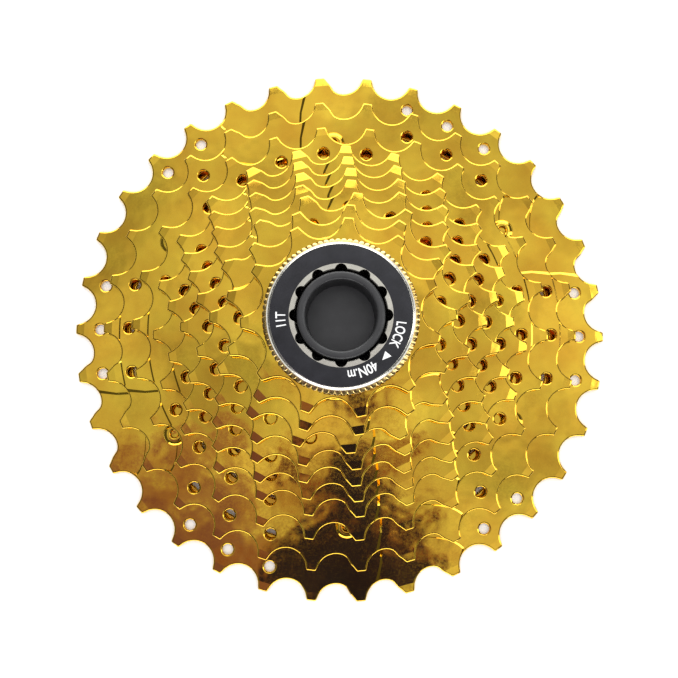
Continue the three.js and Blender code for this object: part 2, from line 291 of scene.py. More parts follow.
class Shell:
    """The rings and faces of one closed surface."""

    def __init__(self):
        self.vertices = []
        self.faces = []
        self.flat_faces = []

    def ring(self, points, heights):
        start = len(self.vertices)
        self.vertices += [(p.x, p.y, z) for p, z in zip(points, heights)]
        return list(range(start, len(self.vertices)))

    def band(self, lower, upper):
        """Smooth faces between two closed rings."""
        for i in range(len(lower)):
            self.faces.append((lower[i - 1], upper[i - 1], upper[i], lower[i]))

    def wall(self, lower, upper):
        """Flat faces between two open lines of points."""
        for i in range(1, len(lower)):
            self.flat_faces.append((lower[i - 1], upper[i - 1], upper[i], lower[i]))

    def cap(self, rings):
        """One flat face inside the first ring and outside the others."""
        loops = [[Vector(self.vertices[i]) for i in ring] for ring in rings]
        flat = [i for ring in rings for i in ring]
        for triangle in tessellate_polygon(loops):
            self.flat_faces.append(tuple(flat[i] for i in triangle))

    def mesh(self, name):
        made = bpy.data.meshes.new(name)
        vertices = [Vector(v) * MM for v in self.vertices]
        made.from_pydata(vertices, [], self.faces + self.flat_faces)
        smooth = [True] * len(self.faces) + [False] * len(self.flat_faces)
        made.polygons.foreach_set("use_smooth", smooth)
        tidy = bmesh.new()
        tidy.from_mesh(made)
        bmesh.ops.remove_doubles(tidy, verts=tidy.verts, dist=WELD_DISTANCE)
        bmesh.ops.recalc_face_normals(tidy, faces=tidy.faces)
        tidy.to_mesh(made)
        tidy.free()
        return made


def edge_profile(rounding, steps, bottom, top):
    """(inset, height) of each ring up the side of a plate with rounded edges."""
    quarter = [math.radians(90 * i / steps) for i in range(steps + 1)]
    lower = [(rounding * (1 - math.sin(a)), bottom + rounding * (1 - math.cos(a))) for a in quarter]
    upper = [(rounding * (1 - math.cos(a)), top - rounding * (1 - math.sin(a))) for a in quarter]
    return lower + upper


def front_drops(teeth, tip_drop, recesses):
    """A function that says how far the front lies below its full height at a point of the outline, given
    the point's number and place."""
    sloped = {}
    for first, last, direction, start in teeth:
        for i in range(first, last + 1):
            sloped[i] = (direction, start)
    pressed = {i for first, last, *_ in recesses for i in range(first, last + 1)}

    def drop_at(i, point):
        drop = RAMP_DEPTH if i in pressed else 0
        if i in sloped:
            direction, start = sloped[i]
            drop += max(0, point.dot(direction) - start) * tip_drop / TIP_SLOPE_LENGTH
        return drop

    return drop_at


def plate_side(shell, loop, profile, inwards, drop_at=None):
    """The rounded side of a plate, along its outline with inwards 1 or round a hole with -1. Returns the
    rings at its back and front. drop_at lowers the rings of the front half."""
    middle = (profile[0][1] + profile[-1][1]) / 2
    rings = []
    for depth, height in profile:
        points = inset(loop, depth * inwards)
        heights = [height] * len(points)
        if drop_at and height > middle:
            heights = [height - drop_at(i, point) for i, point in enumerate(points)]
        rings.append(shell.ring(points, heights))
    for lower, upper in zip(rings, rings[1:]):
        shell.band(lower, upper)
    return rings[0], rings[-1]


def cap_front(shell, top, front, hole_fronts, teeth, recesses):
    """Closes the front of a plate: the tips of its teeth, then its recesses, then all the rest."""
    tips = {i for first, last, *_ in teeth for i in range(first + 1, last)}
    pressed = {i for first, last, *_ in recesses for i in range(first, last + 1)}
    for first, last, *_ in teeth:
        shell.flat_faces.append(tuple(front[first:last + 1]))
    upper_edges = {}
    for first, last, upper, lower in recesses:
        high = shell.ring(upper, [top] * len(upper))
        low = shell.ring(lower, [top - RAMP_DEPTH] * len(lower))
        shell.wall([front[first]] + low + [front[last]], [front[first - 1]] + high + [front[last + 1]])
        shell.cap([[front[i] for i in range(first, last + 1) if i not in tips] + low[::-1]])
        upper_edges[first] = high
    rim = []
    for i, vertex in enumerate(front):
        rim += upper_edges.get(i, [])
        if i not in tips and i not in pressed:
            rim.append(vertex)
    shell.cap([rim] + hole_fronts)


def plate(name, outline, holes, bottom, top, teeth=(), tip_drop=0, recesses=()):
    """A flat plate with rounded edges. Each of the teeth is a run of points of the outline, as (first,
    last, direction, height where its front starts to slope back by tip_drop in all). Each recess is a
    shallow step in the front, as (first, last, upper edge, lower edge): a run of points of the outline and
    two lines across the plate."""
    shell = Shell()
    drop_at = front_drops(teeth, tip_drop, recesses)
    profile = edge_profile(EDGE_ROUNDING, ROUNDING_STEPS, bottom, top)
    back, front = plate_side(shell, outline, profile, 1, drop_at)
    edges = []
    for loop, rounding in holes:
        edges.append(plate_side(shell, loop, edge_profile(rounding, ROUNDING_STEPS, bottom, top), -1))
    shell.cap([back] + [hole_back for hole_back, hole_front in edges])
    cap_front(shell, top, front, [hole_front for hole_back, hole_front in edges], teeth, recesses)
    return shell.mesh(name)


def turned(name, profile, bearings=None, reshape=None):
    """A solid turned about the axle. The profile is a closed loop of (radius, height), or starts and ends
    on the axle. reshape gives the radius at a bearing from the profile's radius there."""
    bearings = bearings or [i * 360 / TURNED_SIDES for i in range(TURNED_SIDES)]
    reshape = reshape or (lambda radius, bearing: radius)
    shell = Shell()
    rings = []
    for radius, height in profile:
        points = [polar(reshape(radius, bearing), bearing) for bearing in bearings]
        rings.append(shell.ring(points, [height] * len(points)))
    on_axle = profile[0][0] == 0
    for i in range(len(rings) - 1 if on_axle else len(rings)):
        shell.band(rings[i], rings[(i + 1) % len(rings)])
    return shell.mesh(name)


def combine(mesh, other, operation):
    """The first mesh with the other cut from it or joined to it."""
    pair = [bpy.data.objects.new("combining", m) for m in (mesh, other)]
    for item in pair:
        bpy.context.scene.collection.objects.link(item)
    modifier = pair[0].modifiers.new("combine", "BOOLEAN")
    modifier.operation = operation
    modifier.object = pair[1]
    modifier.solver = "EXACT"
    bpy.context.view_layer.update()
    graph = bpy.context.evaluated_depsgraph_get()
    made = bpy.data.meshes.new_from_object(pair[0].evaluated_get(graph))
    for item in pair:
        bpy.data.objects.remove(item)
    return made


def piece(name, mesh, materials, body, replaced=()):
    """Puts a mesh in the scene as a piece that rides on a body."""
    smooth = [polygon.use_smooth for polygon in mesh.polygons]
    mesh.set_sharp_from_angle(angle=math.radians(SHARP_ANGLE))
    mesh.polygons.foreach_set("use_smooth", smooth)
    for material in materials:
        mesh.materials.append(material)
    made = bpy.data.objects.new(name, mesh)
    bpy.context.scene.collection.objects.link(made)
    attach(made, body)
    if replaced:
        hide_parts(*replaced)
    return made


# ---- materials ----

def new_material(name):
    material = bpy.data.materials.new(name)
    material.use_nodes = True
    tree = material.node_tree
    return material, tree, tree.nodes["Principled BSDF"]


def noise(tree, size, detail=2, stretch=(1, 1, 1)):
    """Noise from 0 to 1 whose lumps are about that many millimetres across."""
    place = tree.nodes.new("ShaderNodeTexCoord")
    mapping = tree.nodes.new("ShaderNodeMapping")
    mapping.inputs["Scale"].default_value = stretch
    texture = tree.nodes.new("ShaderNodeTexNoise")
    texture.inputs["Scale"].default_value = 1 / (size * MM)
    texture.inputs["Detail"].default_value = detail
    tree.links.new(place.outputs["Object"], mapping.inputs["Vector"])
    tree.links.new(mapping.outputs["Vector"], texture.inputs["Vector"])
    return texture.outputs["Fac"]


def ramp(tree, value, low, high, start=0.3, end=0.7):
    """A colour between two, by a value from start to end."""
    return shades(tree, value, [(start, low), (end, high)])


def shades(tree, value, colours):
    """A colour by a value, from two or more (value, colour) pairs."""
    node = tree.nodes.new("ShaderNodeValToRGB")
    while len(node.color_ramp.elements) < len(colours):
        node.color_ramp.elements.new(0.5)
    for element, (position, colour) in zip(node.color_ramp.elements, colours):
        element.position = position
        element.color = (*colour, 1)
    tree.links.new(value, node.inputs["Fac"])
    return node.outputs["Color"]


def span(tree, value, low, high, start=0.3, end=0.7):
    """A value from start to end spread over low to high."""
    node = tree.nodes.new("ShaderNodeMapRange")
    node.inputs["From Min"].default_value = start
    node.inputs["From Max"].default_value = end
    node.inputs["To Min"].default_value = low
    node.inputs["To Max"].default_value = high
    tree.links.new(value, node.inputs["Value"])
    return node.outputs["Result"]


def combined(tree, operation, first, second):
    """Two values put together by an operation such as ADD."""
    node = tree.nodes.new("ShaderNodeMath")
    node.operation = operation
    tree.links.new(first, node.inputs[0])
    tree.links.new(second, node.inputs[1])
    return node.outputs["Value"]


def bump(tree, height, depth, below=None):
    """A bump that many millimetres deep, on top of another."""
    node = tree.nodes.new("ShaderNodeBump")
    node.inputs["Strength"].default_value = 1
    node.inputs["Distance"].default_value = depth * MM
    tree.links.new(height, node.inputs["Height"])
    if below:
        tree.links.new(below, node.inputs["Normal"])
    return node.outputs["Normal"]


def glowing_material(name):
    """A material that can give off light and reflects none."""
    material, tree, shader = new_material(name)
    shader.inputs["Base Color"].default_value = (0, 0, 0, 1)
    shader.inputs["Specular IOR Level"].default_value = 0
    return material, tree, shader


def gold_plate():
    """Bright titanium-gold plating on pressed steel: mirror-like, wavy, and uneven in colour."""
    material, tree, shader = new_material("gold_plate")
    shader.inputs["Metallic"].default_value = 1
    shader.inputs["Coat Weight"].default_value = 0.15
    shader.inputs["Coat Roughness"].default_value = 0.05
    patches = noise(tree, 12, 3)
    grain = noise(tree, 0.6, 4)
    tree.links.new(ramp(tree, patches, (0.74, 0.41, 0.035), (0.90, 0.61, 0.055)), shader.inputs["Base Color"])
    tree.links.new(span(tree, grain, 0.04, 0.11), shader.inputs["Roughness"])
    waves = bump(tree, noise(tree, 9, 2), 0.1)
    tree.links.new(bump(tree, grain, 0.0012, waves), shader.inputs["Normal"])
    return material


def turned_steel(name, low, high):
    """Bright turned metal, slightly uneven in colour and grain."""
    material, tree, shader = new_material(name)
    shader.inputs["Metallic"].default_value = 1
    grain = noise(tree, 0.5, 4)
    tree.links.new(ramp(tree, noise(tree, 5, 3), low, high), shader.inputs["Base Color"])
    tree.links.new(span(tree, grain, 0.16, 0.34), shader.inputs["Roughness"])
    tree.links.new(bump(tree, grain, 0.002), shader.inputs["Normal"])
    return material


def black_anodising():
    material, tree, shader = new_material("black_anodising")
    shader.inputs["Specular IOR Level"].default_value = 0.3
    grain = noise(tree, 0.25, 4)
    tree.links.new(ramp(tree, noise(tree, 4, 3), (0.012, 0.012, 0.015), (0.020, 0.020, 0.025)),
                   shader.inputs["Base Color"])
    tree.links.new(span(tree, grain, 0.42, 0.58), shader.inputs["Roughness"])
    tree.links.new(bump(tree, grain, 0.006), shader.inputs["Normal"])
    return material


def printed_white():
    material, tree, shader = new_material("printed_white")
    grain = noise(tree, 0.2, 3)
    tree.links.new(ramp(tree, grain, (0.78, 0.78, 0.76), (0.95, 0.95, 0.93)), shader.inputs["Base Color"])
    tree.links.new(span(tree, grain, 0.45, 0.6), shader.inputs["Roughness"])
    return material


def moulded_plastic(name, low, high, rough):
    """Moulded plastic with a fine grain and faint flow marks."""
    material, tree, shader = new_material(name)
    grain = noise(tree, 0.22, 5)
    flow = noise(tree, 6, 3)
    tree.links.new(ramp(tree, flow, low, high), shader.inputs["Base Color"])
    tree.links.new(span(tree, grain, rough - 0.08, rough + 0.08), shader.inputs["Roughness"])
    tree.links.new(bump(tree, grain, 0.012, bump(tree, flow, 0.05)), shader.inputs["Normal"])
    return material


GOLD = gold_plate()
SILVER = turned_steel("bare_aluminium", (0.66, 0.64, 0.56), (0.86, 0.84, 0.74))
WASHER_STEEL = turned_steel("plated_washer", (0.50, 0.33, 0.09), (0.82, 0.62, 0.27))
BLACK = black_anodising()
WHITE = printed_white()
SPACER_PLASTIC = moulded_plastic("spacer_plastic", (0.018, 0.018, 0.019), (0.03, 0.03, 0.031), 0.5)
CORE_PLASTIC = moulded_plastic("core_plastic", (0.022, 0.022, 0.023), (0.034, 0.034, 0.035), 0.42)


# ---- sprockets ----

def pitch_radius(teeth):
    return CHAIN_PITCH / 2 / math.sin(math.pi / teeth)


def root_radius(teeth):
    return pitch_radius(teeth) - ROLLER_RADIUS


def back_face(index):
    """Height of the back of a sprocket's plate, from the CAD model."""
    node = f"sprocket_{SPROCKETS[index]['teeth']}t"
    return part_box(node)[1].z / MM - plate_thickness()


def plate_thickness():
    low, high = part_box("sprocket_34t")
    return (high.z - low.z) / MM


def valley_angles(teeth):
    """Half the turn of a valley's arc, and half the turn of the part below the sloped tips, in degrees."""
    step = 360 / teeth
    tip = pitch_radius(teeth) + TIP_ABOVE_PITCH_CIRCLE
    valley_centre = root_radius(teeth) + VALLEY_RADIUS
    to_corner = polar(tip, math.degrees(TIP_HALF_WIDTH / tip)) - polar(valley_centre, step / 2)
    tangent = math.degrees(math.atan2(to_corner.x, to_corner.y) - math.acos(VALLEY_RADIUS / to_corner.length))
    slope_start = tip - TIP_SLOPE_LENGTH
    cosine = valley_centre ** 2 + VALLEY_RADIUS ** 2 - slope_start ** 2
    cosine /= 2 * valley_centre * VALLEY_RADIUS
    return 180 + tangent - step / 2, math.degrees(math.acos(cosine))


def toothed_rim(sprocket):
    """The outline of the teeth, and the run of its points that each tip takes."""
    teeth = sprocket["teeth"]
    step = 360 / teeth
    tip = pitch_radius(teeth) + TIP_ABOVE_PITCH_CIRCLE
    root = root_radius(teeth)
    tip_angle = math.degrees(TIP_HALF_WIDTH / tip)
    slope_height = (tip - TIP_SLOPE_LENGTH) * math.cos(math.radians(tip_angle))
    half_valley, half_floor = valley_angles(teeth)
    fuller = {k + i for k in sprocket["ramps"] for i in (-1, 0, 1)}
    outline = []
    runs = []
    for k in range(teeth):
        bearing = sprocket["clocking"] + k * step
        before = polar(root + VALLEY_RADIUS, bearing - step / 2)
        after = polar(root + VALLEY_RADIUS, bearing + step / 2)
        back_in = bearing - step / 2 + 180
        next_in = bearing + step / 2 + 180
        rising = arc(VALLEY_RADIUS, back_in - half_floor, back_in - half_valley, FLANK_STEPS, before)
        falling = arc(VALLEY_RADIUS, next_in + half_valley, next_in + half_floor, FLANK_STEPS, after)
        floor = arc(VALLEY_RADIUS, next_in + half_floor, next_in - half_floor, VALLEY_STEPS, after)
        first = len(outline)
        outline += rising + rounded_tip(arc(tip, bearing - tip_angle, bearing + tip_angle, 1)) + falling
        runs.append((first, len(outline) - 1, polar(1, bearing), slope_height))
        outline += floor[1:-1]
        if k in fuller:
            widen_flank(outline, first + len(rising) + 1, bearing, root, tip)
    return outline, runs


def rounded_tip(corners):
    """The flat top of a tooth with small slants at its corners."""
    left, right = corners
    across = (right - left).normalized() * TIP_CORNER_SIZE
    inwards = Vector((across.y, -across.x))
    return [left + inwards, left + across, right - across, right + inwards]


def widen_flank(outline, start, bearing, root, tip):
    """Fills out the clockwise flank of a tooth, most at half its height."""
    clockwise = polar(1, bearing + 90)
    for i in range(start, len(outline)):
        height = (outline[i].length - root) / (tip - root)
        if 0 < height < 1 and outline[i].dot(clockwise) < FLANK_REACH:
            outline[i] = outline[i] + clockwise * FULLER_FLANK * math.sin(math.pi * height) ** 2


def lug_half(lug):
    """Half the angle of a lug of the bore. The lug numbered 0, at bearing 0, is the narrow key."""
    return LUG_HALF_ANGLE if lug % LUG_COUNT else KEY_LUG_HALF_ANGLE


def splined(radius, lug_radius, steps=6):
    """The outline of a bore that steps in to a smaller radius at each lug."""
    outline = []
    pitch = 360 / LUG_COUNT
    for lug in range(LUG_COUNT):
        outline += arc(lug_radius, lug * pitch - lug_half(lug), lug * pitch + lug_half(lug), steps)
        outline += arc(radius, lug * pitch + lug_half(lug), (lug + 1) * pitch - lug_half(lug + 1), steps)
    return outline


def arm_windows(windows):
    """Six windows between straight-sided arms."""
    inner, outer = windows
    step = 360 / ARM_COUNT
    loops = []
    for i in range(ARM_COUNT):
        arm = ARM_BEARING + i * step
        at_outer = math.degrees(math.asin(ARM_HALF_WIDTH / outer))
        at_inner = math.degrees(math.asin(ARM_HALF_WIDTH / inner))
        loop = arc(outer, arm + at_outer, arm + step - at_outer, 12)
        loop += arc(inner, arm + step - at_inner, arm + at_inner, 8)
        loops.append(rounded(loop, WINDOW_CORNER_RADIUS, 4))
    return loops


def sprocket_holes(index):
    """The holes of a plate as (loop, rounding of its edges)."""
    sprocket = SPROCKETS[index]
    teeth = sprocket["teeth"]
    circle_radius = root_radius(teeth) - sprocket["hole_depth"]
    holes = [(splined(BORE_RADIUS, LUG_TIP_RADIUS), EDGE_ROUNDING)]
    for loop in arm_windows(sprocket["windows"]) if "windows" in sprocket else []:
        holes.append((loop, EDGE_ROUNDING))
    for tooth in sprocket["holes"]:
        centre = polar(circle_radius, sprocket["clocking"] + tooth * 360 / teeth)
        holes.append((circle(SMALL_HOLE_RADIUS, SMALL_HOLE_SIDES, centre), HOLE_CHAMFER))
    for i in range(ARM_COUNT if index < 2 else 0):
        centre = polar(RIVET_CIRCLE_RADIUS, ARM_BEARING + i * 360 / ARM_COUNT)
        holes.append((circle(RIVET_HOLE_RADIUS, SMALL_HOLE_SIDES, centre), EDGE_ROUNDING))
    return holes


def clear_of_rivets(point, distance):
    """The point, moved outwards if it is nearer than a distance to a rivet."""
    for i in range(ARM_COUNT):
        outwards = polar(1, ARM_BEARING + i * 360 / ARM_COUNT)
        sideways = abs(point.cross(outwards))
        if point.dot(outwards) > 0 and sideways < distance:
            least = RIVET_CIRCLE_RADIUS + math.sqrt(distance ** 2 - sideways ** 2)
            point = point + outwards * max(0, least - point.dot(outwards))
    return point


def ramp_edge(index, end_tooth, foot):
    """The edge of a shift ramp away from the teeth. It curves in from the valley where the ramp starts,
    runs hidden below the next sprocket, and comes straight out to the valley where the ramp ends. Foot is 0
    for the top of the walls along it, and 1 for their foot."""
    sprocket = SPROCKETS[index]
    step = 360 / sprocket["teeth"]
    root = root_radius(sprocket["teeth"])
    depth = root - root_radius(SPROCKETS[index + 1]["teeth"]) + RAMP_UNDERLAP
    end = sprocket["clocking"] + (end_tooth + 0.5) * step
    start_width = RAMP_START_WIDTH * foot
    end_offset = RAMP_VALLEY_OFFSET - RAMP_END_WIDTH * foot

    def place(bearing, clockwise, inwards):
        return polar(root - inwards, bearing + math.degrees(clockwise / root))

    edge = []
    for i in range(1, RAMP_STEPS + 1):
        t = i / RAMP_STEPS
        clockwise = pulled(RAMP_VALLEY_OFFSET, RAMP_CLOCKWISE_PULL, RAMP_SWEEP * depth, t)
        inwards = pulled(0, RAMP_INWARD_PULL * depth, depth, t)
        edge.append(place(end - 2 * step, clockwise + start_width, inwards))
    if index == 1:
        edge = [clear_of_rivets(point, RIVET_CLEARANCE + start_width) for point in edge]
    under = place(end, end_offset - RAMP_END_LEAN * depth, depth)
    for i in range(1, RAMP_HIDDEN_STEPS):
        between = edge[RAMP_STEPS - 1].lerp(under, i / RAMP_HIDDEN_STEPS)
        edge.append(between.normalized() * (root - depth + start_width))
    return edge + [under, place(end, end_offset - RAMP_END_LEAN * depth / 2, depth / 2)]


def step_edge(index, tooth, wider):
    """A line across the root of a tooth, further out by wider."""
    sprocket = SPROCKETS[index]
    step = 360 / sprocket["teeth"]
    radius = root_radius(sprocket["teeth"]) + SINGLE_STEP_ABOVE_ROOT + wider
    bearing = sprocket["clocking"] + tooth * step
    return arc(radius, bearing - 0.25 * step, bearing + 0.25 * step, 4)


def sprocket_recesses(index, outline):
    """The ramps and steps in the front of a sprocket, for plate."""
    sprocket = SPROCKETS[index]
    per_tooth = len(outline) // sprocket["teeth"]
    middle = per_tooth - VALLEY_STEPS // 2
    past = middle + POINTS_PAST_VALLEY
    recesses = []
    # A ramp runs over two teeth, from valley to valley, and a step over one tooth and parts of its valleys
    for tooth in sprocket["ramps"]:
        first = (tooth - 2) * per_tooth + past + 1
        last = tooth * per_tooth + past - 1
        recesses.append((first, last, ramp_edge(index, tooth, 0), ramp_edge(index, tooth, 1)))
    for tooth in sprocket["steps"]:
        first = (tooth - 1) * per_tooth + past + 2
        last = tooth * per_tooth + middle - 4
        recesses.append((first, last, step_edge(index, tooth, 0), step_edge(index, tooth, SINGLE_STEP_WIDTH)))
    return recesses


def make_sprocket(index):
    sprocket = SPROCKETS[index]
    name = f"{sprocket['teeth']}t"
    bottom = back_face(index)
    top = bottom + plate_thickness()
    outline, runs = toothed_rim(sprocket)
    recesses = sprocket_recesses(index, outline)
    tip_drop = LARGE_TIP_SLOPE_DROP if "windows" in sprocket else TIP_SLOPE_DROP
    mesh = plate(name, outline, sprocket_holes(index), bottom, top, runs, tip_drop, recesses)
    if index == len(SPROCKETS) - 1:
        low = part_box(f"sprocket_{name}")[0].z / MM
        bore = [(splined(BORE_RADIUS, LUG_TIP_RADIUS), EDGE_ROUNDING)]
        rim = circle(SMALLEST_COLLAR_RADIUS, TURNED_SIDES)
        collar = plate("collar", rim, bore, low, bottom + plate_thickness() / 2)
        mesh = combine(mesh, collar, "UNION")
    piece(f"gold_sprocket_{name}", mesh, [GOLD], "cluster", [f"sprocket_{name}"])


# ---- round pieces ----

def smooth_profile(profile, radius, steps=3):
    """A closed profile with rounded corners."""
    loop = rounded([Vector(p) for p in profile], radius, steps, least_turn=20)
    return [(p.x, p.y) for p in loop]


def make_spacers():
    for index in range(len(SPROCKETS) - 2):
        name = f"spacer_{SPROCKETS[index]['teeth']}t_{SPROCKETS[index + 1]['teeth']}t"
        low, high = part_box(name)
        outer = high.x / MM
        bottom, top = low.z / MM, high.z / MM
        profile = [(SPACER_BORE_RADIUS, bottom), (outer, bottom), (outer, top), (SPACER_BORE_RADIUS, top)]
        mesh = turned(name, smooth_profile(profile, SPACER_ROUNDING))
        piece(f"moulded_{name}", mesh, [SPACER_PLASTIC], "cluster", [name])


def rivet_profile(foot, top):
    shank, collar = RIVET_SHANK_RADIUS, RIVET_COLLAR_RADIUS
    under = top - RIVET_HEAD[0][1]
    collar_low = foot + RIVET_COLLAR_ABOVE_FOOT
    collar_high = under - RIVET_COLLAR_BELOW_HEAD
    profile = [(0, foot), (shank - RIVET_LEAD_IN, foot), (shank, foot + RIVET_LEAD_IN)]
    profile += [(shank, collar_low), (collar, collar_low), (collar, collar_high), (shank, collar_high)]
    return profile + [(shank, under)] + [(radius, top - depth) for radius, depth in RIVET_HEAD]


def make_rivets():
    """Shouldered rivets whose heads were spun down, which leaves a dimple."""
    bearings = [i * 360 / RIVET_SIDES for i in range(RIVET_SIDES)]
    for i in range(ARM_COUNT):
        name = f"rivet_{i + 1}"
        low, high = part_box(name)
        mesh = turned(name, rivet_profile(low.z / MM, high.z / MM), bearings)
        centre = (low + high) / 2
        for vertex in mesh.vertices:
            vertex.co.x += centre.x
            vertex.co.y += centre.y
        piece(f"spun_{name}", mesh, [GOLD], "cluster", [name])


def notch_bearings():
    """Bearings close together across each notch of the lockring."""
    step = 360 / NOTCH_COUNT
    half = math.degrees(math.asin(NOTCH_RADIUS / NOTCH_CENTRE_RADIUS))
    offsets = [half * math.sin(math.radians(a)) for a in range(-90, 91, 15)]
    between = [half + (step - 2 * half) * i / 5 for i in range(1, 5)]
    return [k * step + offset for k in range(NOTCH_COUNT) for offset in offsets + between]


def notched(radius, bearing):
    """Pushes the bore of the lockring out to the round notches."""
    step = 360 / NOTCH_COUNT
    off = math.radians((bearing + step / 2) % step - step / 2)
    sideways = NOTCH_CENTRE_RADIUS * math.sin(off)
    if radius >= BLACK_FACE[0] or abs(sideways) > NOTCH_RADIUS:
        return radius
    return max(radius, NOTCH_CENTRE_RADIUS * math.cos(off) + math.sqrt(NOTCH_RADIUS ** 2 - sideways ** 2))


def lockring_profile(bottom, top, outer):
    bore = LOCKRING_BORE_RADIUS
    flange = top - FLANGE_THICKNESS
    inner_black, outer_black = BLACK_FACE
    inside_rim = top - INSIDE_RIM_DROP
    widening, lead_in = SHANK_CHAMFER
    edge_width, edge_depth = BLACK_FACE_EDGE
    profile = [(bore, bottom + lead_in), (bore + widening, bottom)]
    profile += [(SHANK_CORE_RADIUS, bottom), (SHANK_CORE_RADIUS, flange)]
    profile += [(outer - LOCKRING_CHAMFER, flange), (outer, flange + LOCKRING_CHAMFER)]
    profile += [(outer - inwards, top - depth) for inwards, depth in RIM_BEVEL]
    profile += [(outer_black + edge_width, top - edge_depth), (outer_black, top), (inner_black, top)]
    profile += [(inner_black, inside_rim), (bore + LOCKRING_CHAMFER, inside_rim)]
    return profile + [(bore, top - LOCKRING_CHAMFER)]


def make_lockring():
    low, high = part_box("lockring")
    bottom, top = low.z / MM, high.z / MM
    inner_black, outer_black = BLACK_FACE
    mesh = turned("lockring", lockring_profile(bottom, top, high.x / MM), notch_bearings(), notched)
    for polygon in mesh.polygons:
        centre = polygon.center / MM
        on_face = centre.z > top - BLACK_FACE_EDGE[1] / 2
        is_black = on_face and inner_black < math.hypot(centre.x, centre.y) < outer_black
        polygon.material_index = 1 if is_black else 0
    piece("lockring_body", mesh, [SILVER, BLACK], "lockring", ["lockring"])
    make_thread(bottom, top - FLANGE_THICKNESS)


def make_thread(bottom, flange):
    """The thread behind the flange, as one helical surface round the shank."""
    shell = Shell()
    rings = []
    start = bottom + THREAD_FOOT_GAP
    end = flange - THREAD_FLANGE_GAP
    for level in range(THREAD_LEVELS + 1):
        height = start + (end - start) * level / THREAD_LEVELS
        run_out = min(1, level / THREAD_RUN_OUT_LEVELS, (THREAD_LEVELS - level) / THREAD_RUN_OUT_LEVELS)
        points = []
        for i in range(TURNED_SIDES):
            turn = ((height - bottom) / THREAD_PITCH + i / TURNED_SIDES) % 1
            rise = THREAD_DEPTH * abs(2 * turn - 1) * run_out
            points.append(polar(THREAD_CREST_RADIUS - THREAD_DEPTH + rise, i * 360 / TURNED_SIDES))
        rings.append(shell.ring(points, [height] * TURNED_SIDES))
    wall = circle(SHANK_CORE_RADIUS + THREAD_CLEARANCE, TURNED_SIDES)
    inside = [shell.ring(wall, [z] * TURNED_SIDES) for z in (start, end)]
    for lower, upper in zip(rings, rings[1:]):
        shell.band(lower, upper)
    shell.band(inside[0], inside[1])
    shell.band(inside[0], rings[0])
    shell.band(inside[1], rings[-1])
    piece("lockring_thread", shell.mesh("thread"), [SILVER], "lockring")


def make_marks():
    """The tooth count, the word LOCK, a turning arrow and a torque figure, tops outwards."""
    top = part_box("lockring")[1].z / MM
    for name, text, bearing, spread in MARKS:
        print_text(name, text, bearing, spread, top)
    shell = Shell()
    middle = MARK_RADIUS + MARK_HEIGHT / 2
    arrow = [polar(middle + ARROW_HALF_WIDTH, ARROW_TAIL), polar(middle, ARROW_POINT),
             polar(middle - ARROW_HALF_WIDTH, ARROW_TAIL)]
    rings = [shell.ring(arrow, [z] * 3) for z in (top, top + MARK_THICKNESS)]
    shell.band(*rings)
    for ring in rings:
        shell.cap([ring])
    piece("mark_arrow", shell.mesh("arrow"), [WHITE], "lockring")


def print_text(name, text, bearing, spread, height):
    """Text bent round the axle, its middle at a bearing, over that many degrees."""
    curve = bpy.data.curves.new(name, "FONT")
    curve.body = text
    curve.size = MARK_HEIGHT / CAPITAL_HEIGHT
    curve.offset = MARK_BOLDNESS
    curve.extrude = MARK_THICKNESS / 2
    curve.align_x = "CENTER"
    source = bpy.data.objects.new(name, curve)
    bpy.context.scene.collection.objects.link(source)
    bpy.context.view_layer.update()
    graph = bpy.context.evaluated_depsgraph_get()
    mesh = bpy.data.meshes.new_from_object(source.evaluated_get(graph))
    bpy.data.objects.remove(source)
    left = min(vertex.co.x for vertex in mesh.vertices)
    right = max(vertex.co.x for vertex in mesh.vertices)
    for vertex in mesh.vertices:
        x, y, z = vertex.co
        place = polar(MARK_RADIUS + y, bearing + spread * (x - (left + right) / 2) / (right - left))
        vertex.co = Vector((place.x, place.y, height + MARK_THICKNESS / 2 + z)) * MM
    weld = bmesh.new()
    weld.from_mesh(mesh)
    bmesh.ops.remove_doubles(weld, verts=weld.verts, dist=WELD_DISTANCE)
    weld.to_mesh(mesh)
    weld.free()
    piece(name, mesh, [WHITE], "lockring")


def make_washer():
    low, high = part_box("lockring_washer")
    bottom, top = low.z / MM, high.z / MM
    outer = high.x / MM
    (back_in, back_along), (front_in, front_along) = WASHER_CHAMFERS
    profile = [(WASHER_BORE_RADIUS, bottom), (outer - back_in, bottom), (outer, bottom + back_along),
               (outer, top - front_along), (outer - front_in, top), (WASHER_BORE_RADIUS, top)]
    count = SERRATION_COUNT * len(SERRATION_WAVE)

    def serrated(radius, bearing):
        wave = SERRATION_WAVE[round(bearing * count / 360) % len(SERRATION_WAVE)]
        return radius - SERRATION_DEPTH * (1 - wave) if radius > WASHER_BORE_RADIUS else radius

    mesh = turned("washer", profile, [i * 360 / count for i in range(count)], serrated)
    piece("serrated_washer", mesh, [WASHER_STEEL], "washer", ["lockring_washer"])


def half_groove(lug):
    """Half the angle of the core's groove for a lug."""
    return lug_half(lug) + GROOVE_CLEARANCE_ANGLE


def groove_bearings():
    """Bearings across each groove of the core, and across the rib after it."""
    pitch = 360 / LUG_COUNT
    bearings = []
    for lug in range(LUG_COUNT):
        half = half_groove(lug)
        bearings += [lug * pitch + half * i / 4 for i in range(-4, 5)]
        start = lug * pitch + half + GROOVE_SLANT
        end = (lug + 1) * pitch - half_groove(lug + 1) - GROOVE_SLANT
        bearings += [start + (end - start) * i / 6 for i in range(7)]
    return bearings


